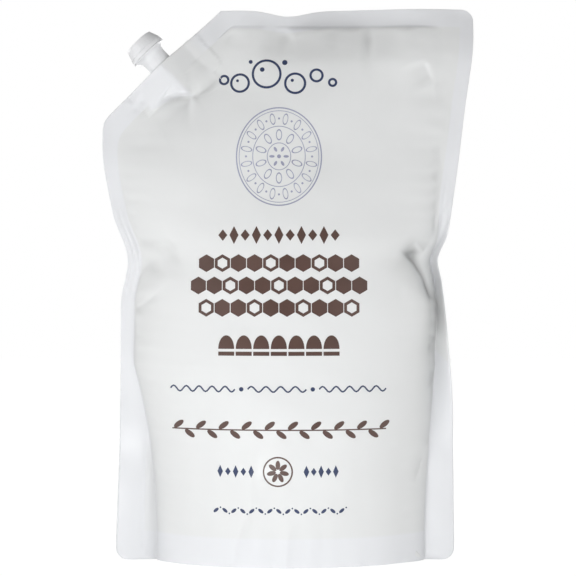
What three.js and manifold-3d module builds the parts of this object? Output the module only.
// A hand soap refill pouch, standing and full: a film bag with a bottom gusset, flat welded seals all round,
// one corner cut off at a slant, and a screw-capped spout welded into that slanted edge.
// Millimetres. +Z is up and +X is to the right as seen from the front, which faces -Y.
// The origin is the middle of the footprint, on the surface that the pouch stands on.
import * as THREE from "three";
import { mergeVertices } from "three/addons/utils/BufferGeometryUtils.js";
import Module from "manifold-3d";

const wasm = await Module();
wasm.setup();

// The bag's outline, seen from the front. The waist is the pinch at the level of the soap inside.
const BAG_HEIGHT = 311;
const SHOULDER_HALF_WIDTH = 105.2;
const FOOT_LEFT = 97;
const FOOT_RIGHT = 93.5;
const WAIST_LEFT = 90.4;
const WAIST_RIGHT = 84.2;
const WAIST_HEIGHT = 168;
const SIDE_TAPER_LEFT = 2.3;
const SIDE_TAPER_RIGHT = 6.5;
const CORNER_CUT_RUN = 67;
const CORNER_CUT_DROP = 64.4;
const BOTTOM_CORNER_RADIUS = 7;
const TOP_CORNER_RADIUS = 7;
const TOP_SLOPE = 1.8;
const TOP_DIP = 3.4;
const TOP_DIP_SPREAD = 13;

// The bag's depth, front to back, along its middle.
const FOOT_DEPTH = 76;
const BELLY_DEPTH = 85;
const BELLY_HEIGHT = 48;
const WAIST_DEPTH = 60;
const SHOULDER_DEPTH = 30;

// Welded seals, each a flat band of film, and the flat ears that the gusset's seal makes at the bottom corners.
const SEAL_THICKNESS = 1.2;
const SIDE_SEAL = 7.5;
const TOP_SEAL = 10;
const CUT_SEAL = 11;
const SKIRT_SEAL = 15;
const EAR_LEFT = 15.5;
const EAR_RIGHT = 9;
const EAR_HEIGHT = 110;
const GUSSET_ROLL = 20;
const TOP_SWAY = 2.4;
const TOP_SWAY_LENGTH = 95;
const EAR_LEAN = 4;

// The top leans back. The right side seal turns forward below the waist, and the inner line of it moves out there.
const TOP_LEAN = 5;
const TOP_LEAN_LENGTH = 32;
const CURL = 5.5;
const CURL_HEIGHT = 132;
const CURL_REACH = 56;
const PINCH = 4;
const PINCH_HEIGHT = 158;
const PINCH_REACH = 34;

// Where the sides fold in at the waist: how far in from the seal, how deep and how wide each dent is.
const DENT_INSET = 12;
const DENT_DEPTH = 8;
const DENT_SPREAD = 11;

// Longer folds, each a soft groove between two ends. An end is how far in from the side seal it lies, and how
// far above the waist.
const FOLDS = [
  { side: "left", from: [3, 26], to: [12, -2], depth: 3, width: 6 },
  { side: "left", from: [8, -30], to: [36, -14], depth: 2.2, width: 7 },
  { side: "right", from: [1, 62], to: [6, 14], depth: 3, width: 7 },
  { side: "right", from: [19, 8], to: [9, -3], depth: 5, width: 6.5 },
  { side: "right", from: [9, -3], to: [4, -24], depth: 6, width: 6.5 },
  { side: "right", from: [6, -24], to: [8, -110], depth: 2.2, width: 6 },
  { side: "right", from: [6, 106], to: [26, 84], depth: 3, width: 10 },
];

// The spout, along its own axis from the slanted edge of the film. Its boat is the part welded into the seal.
const SPOUT_PLACE = 0.498; // as a share of the slanted edge, from its lower end
const BORE_RADIUS = 6;
const NECK_RADIUS = 7.2;
const BOAT_HALF_LENGTH = 21;
const BOAT_HALF_THICKNESS = 7.6;
const BOAT_TIP = 0.7;
const BOAT_HEIGHT = 12.5;
const BOAT_PROUD = 0.8;
const TUBE_DEPTH = 20;
const COLLAR_START = 5.2;
const COLLAR_TOP = 9.6;
const COLLAR_RADIUS = 10.9;
const COLLAR_RIM = 0.5;
const BEAD_HEIGHT = 0.8;
const BEAD_RISE = 0.7;
const MOUTH_HEIGHT = 15.2;
const MOUTH_CHAMFER = 0.4;

// The cap, the liner in it and the tamper band below it. The thread is a double one, free after one turn.
const BAND_HEIGHT = 1.9;
const CAP_WALL = 1.3;
const CAP_BOTTOM_RADIUS = 10.6;
const CAP_TOP_RADIUS = 8.5;
const CAP_RIBS = 30;
const CAP_RIB_DEPTH = 0.28;
const CAP_CHAMFER = 0.5;
const CAP_DOME = 0.9;
const LINER_THICKNESS = 0.8;

// Gaps between pieces, and the film over the boat.
const SEAT_GAP = 0.3;
const BAND_GAP = 0.35;
const BEAD_CLEARANCE = 0.4;
const BOAT_FILM = 0.9;
const TENT_SLACK = 0.5;

// How finely the surfaces are divided.
const PANEL_COLUMNS = 36;
const SEAL_COLUMNS = 2;
const SKIRT_ROWS = 3;
const BELLY_ROWS = 24;
const SHOULDER_ROWS = 13;
const SEAL_ROWS = 3;
const ROUND_SEGMENTS = 48;
const RIB_STEPS = 3;

// Worked out from the sizes above.
const RISE = BAG_HEIGHT - WAIST_HEIGHT;
const HALF_FILM = SEAL_THICKNESS / 2;
const CUT_ANGLE = Math.atan2(CORNER_CUT_DROP, CORNER_CUT_RUN);
const CUT_LENGTH = Math.hypot(CORNER_CUT_DROP, CORNER_CUT_RUN);
const CUT_LOW_HEIGHT = BAG_HEIGHT - CORNER_CUT_DROP;
const TOP_SEAL_LINE = BAG_HEIGHT - TOP_SEAL;
const BAND_BOTTOM = COLLAR_TOP + SEAT_GAP;
const BAND_TOP = BAND_BOTTOM + BAND_HEIGHT;
const BEAD_BOTTOM = BAND_TOP + SEAT_GAP;
const BEAD_RADIUS = NECK_RADIUS + BEAD_RISE;
const CAP_BOTTOM = BAND_TOP + BAND_GAP;
const LINER_BOTTOM = MOUTH_HEIGHT + SEAT_GAP;
const CAP_CEILING = LINER_BOTTOM + LINER_THICKNESS + SEAT_GAP;
const CAP_TOP = CAP_CEILING + CAP_WALL;
const CAP_BORE_RADIUS = BEAD_RADIUS + BEAD_CLEARANCE;

const clamp = (v) => Math.min(1, Math.max(0, v));

function smooth(low, high, v) {
  const t = clamp((v - low) / (high - low));
  return t * t * (3 - 2 * t);
}

// The larger of two values, rounded over where they meet.
function softMax(a, b, roundness) {
  return (a + b + Math.hypot(a - b, roundness)) / 2;
}

// A smooth curve through points [place, value] that never swings past them: a monotone cubic.
function curveThrough(points) {
  const steps = points.slice(1).map(([x, y], i) => (y - points[i][1]) / (x - points[i][0]));
  const slopes = points.map((_, i) => {
    if (i === 0) return steps[0];
    if (i === steps.length) return steps[i - 1];
    const [before, after] = [steps[i - 1], steps[i]];
    return before * after <= 0 ? 0 : (2 * before * after) / (before + after);
  });
  return (x) => {
    const at = Math.min(Math.max(x, points[0][0]), points.at(-1)[0]);
    let i = 0;
    while (i < points.length - 2 && at > points[i + 1][0]) i += 1;
    const [x0, y0] = points[i];
    const [x1, y1] = points[i + 1];
    const t = (at - x0) / (x1 - x0);
    const rest = 1 - t;
    const width = x1 - x0;
    return (
      y0 * (1 + 2 * t) * rest * rest +
      y1 * (3 - 2 * t) * t * t +
      width * slopes[i] * t * rest * rest -
      width * slopes[i + 1] * t * t * rest
    );
  };
}

// Half widths by height. Above the waist the sides flare back out to the full width of the film.
const flareLeft = SHOULDER_HALF_WIDTH - WAIST_LEFT;
const flareRight = SHOULDER_HALF_WIDTH - WAIST_RIGHT;
const leftSide = curveThrough([
  [0, FOOT_LEFT],
  [0.5 * WAIST_HEIGHT, FOOT_LEFT - SIDE_TAPER_LEFT],
  [0.86 * WAIST_HEIGHT, FOOT_LEFT - 1.2 * SIDE_TAPER_LEFT],
  [WAIST_HEIGHT, WAIST_LEFT],
  [WAIST_HEIGHT + 0.19 * RISE, WAIST_LEFT + 0.58 * flareLeft],
  [WAIST_HEIGHT + 0.46 * RISE, WAIST_LEFT + 0.98 * flareLeft],
  [BAG_HEIGHT, SHOULDER_HALF_WIDTH],
]);
const rightSide = curveThrough([
  [0, FOOT_RIGHT],
  [0.48 * WAIST_HEIGHT, FOOT_RIGHT - 0.1 * SIDE_TAPER_RIGHT],
  [0.76 * WAIST_HEIGHT, FOOT_RIGHT - 0.6 * SIDE_TAPER_RIGHT],
  [0.93 * WAIST_HEIGHT, FOOT_RIGHT - 1.1 * SIDE_TAPER_RIGHT],
  [WAIST_HEIGHT, WAIST_RIGHT],
  [WAIST_HEIGHT + 0.1 * RISE, WAIST_RIGHT + 0.26 * flareRight],
  [WAIST_HEIGHT + 0.27 * RISE, WAIST_RIGHT + 0.46 * flareRight],
  [WAIST_HEIGHT + 0.6 * RISE, WAIST_RIGHT + 0.75 * flareRight],
  [WAIST_HEIGHT + 0.92 * RISE, SHOULDER_HALF_WIDTH],
  [BAG_HEIGHT, SHOULDER_HALF_WIDTH],
]);
const halfDepth = curveThrough([
  [0, FOOT_DEPTH / 2],
  [BELLY_HEIGHT, BELLY_DEPTH / 2],
  [WAIST_HEIGHT, WAIST_DEPTH / 2],
  [WAIST_HEIGHT + 0.46 * RISE, SHOULDER_DEPTH / 2],
  [WAIST_HEIGHT + 0.75 * RISE, SHOULDER_DEPTH / 4],
  [TOP_SEAL_LINE, HALF_FILM],
  [BAG_HEIGHT, HALF_FILM],
]);

// How far a rounded corner draws the side in, at a height above or below the corner's edge.
function cornerInset(radius, fromEdge) {
  return fromEdge >= radius ? 0 : radius - Math.sqrt(radius ** 2 - (radius - fromEdge) ** 2);
}

// A hill of height 1 that is flat on top and ends at about its reach from the middle.
function plateau(away, reach) {
  return Math.exp(-((away / reach) ** 4));
}

// The bag's borders at one height: the outer edges and the inner lines of the seals.
function bordersAt(height) {
  const cutLine = (offset) =>
    -SHOULDER_HALF_WIDTH + (height - CUT_LOW_HEIGHT + offset / Math.cos(CUT_ANGLE)) / Math.tan(CUT_ANGLE);
  const foot = cornerInset(BOTTOM_CORNER_RADIUS, height);
  const shoulder = cornerInset(TOP_CORNER_RADIUS, BAG_HEIGHT - height);
  const ear = 1 - clamp(height / EAR_HEIGHT) ** 2;
  const left = -leftSide(height);
  const right = rightSide(height);
  return {
    left: softMax(left + foot, cutLine(0), 3),
    innerLeft: softMax(left + SIDE_SEAL + EAR_LEFT * ear, cutLine(CUT_SEAL), 5),
    innerRight: right - SIDE_SEAL - EAR_RIGHT * ear + PINCH * plateau(height - PINCH_HEIGHT, PINCH_REACH),
    right: right - foot - shoulder,
  };
}

// Distances from the slanted edge: inwards from it, and along it from the spout's axis.
const cutDirection = new THREE.Vector2(Math.cos(CUT_ANGLE), Math.sin(CUT_ANGLE));
const spoutFoot = new THREE.Vector2(-SHOULDER_HALF_WIDTH, CUT_LOW_HEIGHT).addScaledVector(
  cutDirection,
  SPOUT_PLACE * CUT_LENGTH,
);
function fromSpout(x, z) {
  const away = new THREE.Vector2(x, z).sub(spoutFoot);
  return { along: away.dot(cutDirection), inside: away.cross(cutDirection) };
}

// Half the boat's thickness, at a share of its half length from the middle.
function boatHalfAt(share) {
  return BOAT_TIP + (BOAT_HALF_THICKNESS - BOAT_TIP) * (1 - clamp(Math.abs(share)) ** 1.5);
}

// How the film tents over the spout's boat and the tube below it.
function boatTent(x, z) {
  const { along, inside } = fromSpout(x, z);
  const film = SEAT_GAP + BOAT_FILM + TENT_SLACK;
  const away = Math.abs(along);
  const overBoat =
    (boatHalfAt(along / (BOAT_HALF_LENGTH + 2)) + film) *
    (1 - smooth(BOAT_HALF_LENGTH + 1, BOAT_HALF_LENGTH + 7, away)) *
    (1 - smooth(BOAT_HEIGHT + 1.5, BOAT_HEIGHT + 13, inside));
  const overTube =
    (NECK_RADIUS + film) *
    (1 - smooth(0.3 * NECK_RADIUS, 2.5 * NECK_RADIUS, away)) *
    (1 - smooth(TUBE_DEPTH + 1, TUBE_DEPTH + 18, inside));
  return Math.max(overBoat, overTube);
}

// How deep the folds are at a place on the panels.
function foldDepth(x, z, borders) {
  const ends = (fold, [inset, rise]) =>
    new THREE.Vector2(
      fold.side === "left" ? borders.innerLeft + inset : borders.innerRight - inset,
      WAIST_HEIGHT + rise,
    );
  const depths = FOLDS.map((fold) => {
    const from = ends(fold, fold.from);
    const to = ends(fold, fold.to);
    const run = to.clone().sub(from);
    const share = clamp(new THREE.Vector2(x, z).sub(from).dot(run) / run.lengthSq());
    const away = from.clone().addScaledVector(run, share).distanceTo(new THREE.Vector2(x, z));
    return fold.depth * Math.exp(-((away / fold.width) ** 2));
  });
  return Math.max(...depths);
}

// Half the bag's thickness at a place. across runs from -1 to 1 between the inner lines of the side seals.
function halfThickness(x, z, height, across, borders) {
  if (across <= -1 || across >= 1) return Math.max(HALF_FILM, boatTent(x, z));
  const low = 1 - smooth(0.3 * WAIST_HEIGHT, WAIST_HEIGHT, height);
  const high = smooth(WAIST_HEIGHT, TOP_SEAL_LINE, height);
  const fullness = (across < 0 ? 0.85 - 0.25 * low : 0.85 - 0.1 * low) + 0.4 * high;
  const section = (1 - Math.abs(across) ** 2.1) ** fullness;
  const dent = [borders.innerLeft + DENT_INSET, borders.innerRight - DENT_INSET]
    .map((at) => Math.exp(-(((x - at) / DENT_SPREAD) ** 2) - ((z - WAIST_HEIGHT - 4) / DENT_SPREAD) ** 2))
    .reduce((a, b) => a + b);
  const fromCut = fromSpout(x, z).inside - CUT_SEAL;
  const nearCut = Math.sin((Math.PI / 2) * clamp(fromCut / 52)) ** 0.8;
  const bulge = (halfDepth(height) - HALF_FILM) * section * (height < WAIST_HEIGHT ? 1 : nearCut);
  const dented = bulge - Math.min(DENT_DEPTH * dent + foldDepth(x, z, borders), 0.6 * bulge);
  return Math.max(HALF_FILM + dented, boatTent(x, z));
}

// How far the bag's middle surface sways out of its plane: the ears lean forward, the right seal turns forward
// below the waist, and the top seal leans back and waves but for the part that the spout's boat keeps straight.
function sway(x, height, borders) {
  const outwards = smooth(0.72, 1, Math.abs(x) / (x < 0 ? -borders.left : borders.right));
  const lean = EAR_LEAN * outwards * (1 - smooth(0, EAR_HEIGHT, height));
  const fromBoat = spoutFoot.distanceTo(new THREE.Vector2(x, height));
  const free = smooth(BOAT_HALF_LENGTH + 8, 2.6 * BOAT_HALF_LENGTH, fromBoat);
  const wave = TOP_SWAY * Math.sin((2 * Math.PI * x) / TOP_SWAY_LENGTH) * smooth(0.82, 1, height / BAG_HEIGHT);
  const backwards = TOP_LEAN * smooth(BAG_HEIGHT - TOP_LEAN_LENGTH, BAG_HEIGHT, height);
  const fromSpoutOn = smooth(0.45 * BOAT_HALF_LENGTH, 2.4 * BOAT_HALF_LENGTH, fromBoat);
  const over = (x - borders.innerRight) / Math.max(borders.right - borders.innerRight, 1);
  const turn = Math.exp(-Math.max(-over, 0) / 0.8) - 2.1 * smooth(0, 1, over);
  const curl = CURL * plateau(height - CURL_HEIGHT, CURL_REACH) * turn;
  return wave * free - lean + backwards * fromSpoutOn + curl;
}

// The heights of the bag's rows and the places of its columns: each starts and ends on the seals' inner lines.
function spread(from, to, count) {
  return Array.from({ length: count }, (_, i) => from + ((to - from) * i) / count);
}
const rowHeights = [
  0,
  ...spread(0.25 * BOTTOM_CORNER_RADIUS, SKIRT_SEAL, SKIRT_ROWS),
  ...spread(SKIRT_SEAL, CUT_LOW_HEIGHT - 6, BELLY_ROWS),
  ...spread(CUT_LOW_HEIGHT - 6, TOP_SEAL_LINE, SHOULDER_ROWS),
  ...spread(TOP_SEAL_LINE, BAG_HEIGHT - 0.25 * TOP_CORNER_RADIUS, SEAL_ROWS),
  BAG_HEIGHT - 0.25 * TOP_CORNER_RADIUS,
  BAG_HEIGHT,
];
const columnCount = PANEL_COLUMNS + 2 * SEAL_COLUMNS;

function placeOf(column, borders) {
  if (column < SEAL_COLUMNS) {
    const share = column / SEAL_COLUMNS;
    return { across: -1, x: borders.left + (borders.innerLeft - borders.left) * share };
  }
  if (column > SEAL_COLUMNS + PANEL_COLUMNS) {
    const share = (columnCount - column) / SEAL_COLUMNS;
    return { across: 1, x: borders.right + (borders.innerRight - borders.right) * share };
  }
  const even = (2 * (column - SEAL_COLUMNS)) / PANEL_COLUMNS - 1;
  const across = 0.4 * even + 0.6 * Math.sin((Math.PI / 2) * even);
  const middle = (borders.innerLeft + borders.innerRight) / 2;
  return { across, x: middle + (across * (borders.innerRight - borders.innerLeft)) / 2 };
}

// The front and back points of the bag at one row and column.
function bagPoints(row, column) {
  const height = rowHeights[row];
  const borders = bordersAt(height);
  const { across, x } = placeOf(column, borders);
  const slope = TOP_SLOPE * (1 - (x + SHOULDER_HALF_WIDTH) / (2 * SHOULDER_HALF_WIDTH));
  const dip = TOP_DIP * Math.exp(-((x / TOP_DIP_SPREAD) ** 2));
  const z = height - (slope + dip) * smooth(0.86, 1, height / BAG_HEIGHT);
  const half = halfThickness(x, z, height, across, borders);
  const middle = sway(x, height, borders);
  return [new THREE.Vector3(x, middle - half, z), new THREE.Vector3(x, middle + half, z)];
}

// The underside along one column, from the front edge to the back one: the skirt's rim, the groove behind it,
// and the gusset, which bulges down until it lies flat on the surface. The ears are solid and have none of these.
const UNDERSIDE = [
  [0, 0, 0],
  [1, 0, 0],
  [1, 0.02, 1],
  [1, 0.3, 0.8],
  [1, 0.55, 0.35],
  [1, 0.8, 0.06],
  [1, 1, 0],
];
function undersidePoints(front, back) {
  const half = (back.y - front.y) / 2;
  if (half <= 2 * HALF_FILM) {
    return [...UNDERSIDE.map(() => front), ...UNDERSIDE.map(() => back)];
  }
  const rim = Math.min(SEAL_THICKNESS, 0.3 * half);
  const roll = Math.min(GUSSET_ROLL, 0.85 * (half - rim));
  const rise = SKIRT_SEAL * smooth(2 * HALF_FILM, GUSSET_ROLL, half);
  const near = (edge, inwards) =>
    UNDERSIDE.map(([rims, rolls, rises]) =>
      new THREE.Vector3(edge.x, edge.y + inwards * (rim * rims + roll * rolls), rise * rises),
    );
  return [...near(front, 1), ...near(back, -1).reverse()];
}

// A solid from a closed mesh whose faces share their corners.
function solidFrom(geometry) {
  const bare = geometry.clone();
  bare.deleteAttribute("normal");
  bare.deleteAttribute("uv");
  const merged = mergeVertices(bare, 1e-4);
  const corners = merged.index.array;
  const kept = [];
  for (let i = 0; i < corners.length; i += 3) {
    const [a, b, c] = corners.slice(i, i + 3);
    if (a !== b && b !== c && c !== a) kept.push(a, b, c);
  }
  return new wasm.Manifold(
    new wasm.Mesh({
      numProp: 3,
      vertProperties: merged.attributes.position.array,
      triVerts: new Uint32Array(kept),
    }),
  );
}

function geometryFrom(solid) {
  const mesh = solid.getMesh();
  const geometry = new THREE.BufferGeometry();
  geometry.setAttribute("position", new THREE.BufferAttribute(new Float32Array(mesh.vertProperties), 3));
  geometry.setIndex(new THREE.BufferAttribute(new Uint32Array(mesh.triVerts), 1));
  geometry.computeVertexNormals();
  return geometry;
}

// Two triangles for each cell of a grid of points. They face along the cross product of columns and rows.
function gridFaces(points) {
  const corners = [];
  const add = (...vectors) => vectors.forEach((v) => corners.push(v.x, v.y, v.z));
  for (let i = 0; i + 1 < points.length; i += 1) {
    for (let j = 0; j + 1 < points[i].length; j += 1) {
      const [a, b] = [points[i][j], points[i][j + 1]];
      const [c, d] = [points[i + 1][j], points[i + 1][j + 1]];
      add(a, b, d);
      add(a, d, c);
    }
  }
  return corners;
}

// The bag as one closed skin: both panels, the edges that join them, and the underside.
function bagGeometry() {
  const columns = Array.from({ length: columnCount + 1 }, (_, column) => column);
  const grid = rowHeights.map((_, row) => columns.map((column) => bagPoints(row, column)));
  const front = grid.map((row) => row.map((pair) => pair[0]));
  const back = grid.map((row) => row.map((pair) => pair[1]));
  const top = [front.at(-1), back.at(-1)];
  const left = [back.map((row) => row[0]), front.map((row) => row[0])];
  const right = [front.map((row) => row.at(-1)), back.map((row) => row.at(-1))];
  const under = columns.map((column) => undersidePoints(front[0][column], back[0][column]));
  const corners = [
    ...gridFaces(front),
    ...gridFaces(back.map((row) => [...row].reverse())),
    ...gridFaces(top),
    ...gridFaces(left.map((line) => [...line].reverse())),
    ...gridFaces(right.map((line) => [...line].reverse())),
    ...gridFaces(under),
  ];
  const geometry = new THREE.BufferGeometry();
  geometry.setAttribute("position", new THREE.Float32BufferAttribute(corners, 3));
  return geometry;
}

// The boat and the tube below it, grown all round by the same amount, in the spout's own frame:
// X along the slanted edge, Z out of the bag.
function boatSolid(grown, top) {
  const length = BOAT_HALF_LENGTH + grown;
  const half = (x) => boatHalfAt(x / length) + grown;
  const steps = 12;
  const outline = Array.from({ length: 2 * steps + 1 }, (_, i) => length * (i / steps - 1));
  const shape = new THREE.Shape([
    ...outline.map((x) => new THREE.Vector2(x, -half(x))),
    ...outline.reverse().map((x) => new THREE.Vector2(x, half(x))),
  ]);
  const bottom = -BOAT_HEIGHT - grown;
  const boat = new THREE.ExtrudeGeometry(shape, { depth: top - bottom, bevelEnabled: false });
  boat.translate(0, 0, bottom);
  const tube = turned([
    [0, -TUBE_DEPTH - grown],
    [NECK_RADIUS + grown, -TUBE_DEPTH - grown],
    [NECK_RADIUS + grown, top],
    [0, top],
  ]);
  return solidFrom(boat).add(solidFrom(tube));
}

// A profile of [radius, height] turned about Z.
function turned(profile, segments = ROUND_SEGMENTS) {
  return new THREE.LatheGeometry(
    profile.map(([radius, height]) => new THREE.Vector2(radius, height)),
    segments,
  ).rotateX(Math.PI / 2);
}

function pouchGeometry() {
  const place = (solid) => solidFrom(geometryFrom(solid).applyMatrix4(spoutFrame.matrix));
  const sleeve = place(boatSolid(SEAT_GAP + BOAT_FILM, 0));
  const pocket = place(boatSolid(SEAT_GAP, 2 * BOAT_PROUD));
  return geometryFrom(solidFrom(bagGeometry()).add(sleeve).subtract(pocket));
}

function spoutGeometry() {
  const flare = COLLAR_TOP - COLLAR_RIM - COLLAR_START;
  const neck = turned([
    [0, 0],
    [NECK_RADIUS, 0],
    [NECK_RADIUS, COLLAR_START],
    [NECK_RADIUS + 0.12 * (COLLAR_RADIUS - NECK_RADIUS), COLLAR_START + 0.4 * flare],
    [NECK_RADIUS + 0.55 * (COLLAR_RADIUS - NECK_RADIUS), COLLAR_START + 0.82 * flare],
    [COLLAR_RADIUS, COLLAR_TOP - COLLAR_RIM],
    [COLLAR_RADIUS, COLLAR_TOP],
    [NECK_RADIUS, COLLAR_TOP],
    [NECK_RADIUS, BEAD_BOTTOM],
    [BEAD_RADIUS, BEAD_BOTTOM + 0.25 * BEAD_HEIGHT],
    [BEAD_RADIUS, BEAD_BOTTOM + 0.5 * BEAD_HEIGHT],
    [NECK_RADIUS, BEAD_BOTTOM + BEAD_HEIGHT],
    [NECK_RADIUS, MOUTH_HEIGHT - MOUTH_CHAMFER],
    [NECK_RADIUS - MOUTH_CHAMFER, MOUTH_HEIGHT],
    [0, MOUTH_HEIGHT],
  ]);
  const bore = turned([
    [0, -TUBE_DEPTH - 1],
    [BORE_RADIUS, -TUBE_DEPTH - 1],
    [BORE_RADIUS, MOUTH_HEIGHT + 1],
    [0, MOUTH_HEIGHT + 1],
  ]);
  return geometryFrom(boatSolid(0, BOAT_PROUD).add(solidFrom(neck)).subtract(solidFrom(bore)));
}

// The band that stays on the neck, under the bead, when the cap is first unscrewed.
function tamperBandGeometry() {
  const outerAt = (height) =>
    COLLAR_RADIUS + ((CAP_BOTTOM_RADIUS - COLLAR_RADIUS) * (height - BAND_BOTTOM)) / (CAP_BOTTOM - BAND_BOTTOM);
  const inner = NECK_RADIUS + SEAT_GAP;
  return turned([
    [inner, BAND_BOTTOM],
    [outerAt(BAND_BOTTOM), BAND_BOTTOM],
    [outerAt(BAND_TOP), BAND_TOP],
    [inner, BAND_TOP],
    [inner, BAND_BOTTOM],
  ]);
}

// The cap: a tapered, finely ribbed skirt under a low dome. Each rib is a raised step in the turned skin.
function capGeometry() {
  const segments = CAP_RIBS * RIB_STEPS;
  const skin = [
    [CAP_BORE_RADIUS, CAP_BOTTOM, 0],
    [CAP_BOTTOM_RADIUS - CAP_RIB_DEPTH, CAP_BOTTOM, 0],
    [CAP_BOTTOM_RADIUS, CAP_BOTTOM + CAP_CHAMFER, 1],
    [CAP_TOP_RADIUS, CAP_TOP - CAP_CHAMFER, 1],
    [CAP_TOP_RADIUS - CAP_CHAMFER, CAP_TOP, 0],
    [0.55 * CAP_TOP_RADIUS, CAP_TOP + 0.75 * CAP_DOME, 0],
    [0, CAP_TOP + CAP_DOME, 0],
    [0, CAP_CEILING, 0],
    [CAP_BORE_RADIUS, CAP_CEILING, 0],
    [CAP_BORE_RADIUS, CAP_BOTTOM, 0],
  ];
  const rings = Array.from({ length: segments + 1 }, (_, i) => {
    const turn = (-2 * Math.PI * (i % segments)) / segments;
    const groove = i % RIB_STEPS === 0 ? CAP_RIB_DEPTH : 0;
    return skin.map(([radius, height, ribbed]) => {
      const r = radius - groove * ribbed;
      return new THREE.Vector3(r * Math.cos(turn), r * Math.sin(turn), height);
    });
  });
  const geometry = new THREE.BufferGeometry();
  geometry.setAttribute("position", new THREE.Float32BufferAttribute(gridFaces(rings).flat(), 3));
  return geometryFrom(solidFrom(geometry));
}

// The foam disc that the cap presses on the spout's mouth.
function linerGeometry() {
  return turned([
    [0, LINER_BOTTOM],
    [CAP_BORE_RADIUS - SEAT_GAP, LINER_BOTTOM],
    [CAP_BORE_RADIUS - SEAT_GAP, LINER_BOTTOM + LINER_THICKNESS],
    [0, LINER_BOTTOM + LINER_THICKNESS],
  ]);
}

function piece(name, geometry, colour, roughness) {
  const mesh = new THREE.Mesh(geometry, new THREE.MeshStandardMaterial({ color: colour, roughness, metalness: 0 }));
  mesh.name = name;
  return mesh;
}

// The spout's frame: out of the slanted edge, at right angles to it.
const spoutFrame = new THREE.Group();
spoutFrame.position.set(spoutFoot.x, 0, spoutFoot.y);
spoutFrame.rotation.y = -CUT_ANGLE;
spoutFrame.updateMatrix();
spoutFrame.add(
  piece("spout", spoutGeometry(), 0xf1f2f4, 0.35),
  piece("tamper_band", tamperBandGeometry(), 0xf1f2f4, 0.4),
  piece("cap_liner", linerGeometry(), 0xe9e9e6, 0.8),
  piece("cap", capGeometry(), 0xf1f2f4, 0.4),
);

const pack = new THREE.Group();
pack.add(piece("pouch", pouchGeometry(), 0xe9eaea, 0.5), spoutFrame);

export default pack;
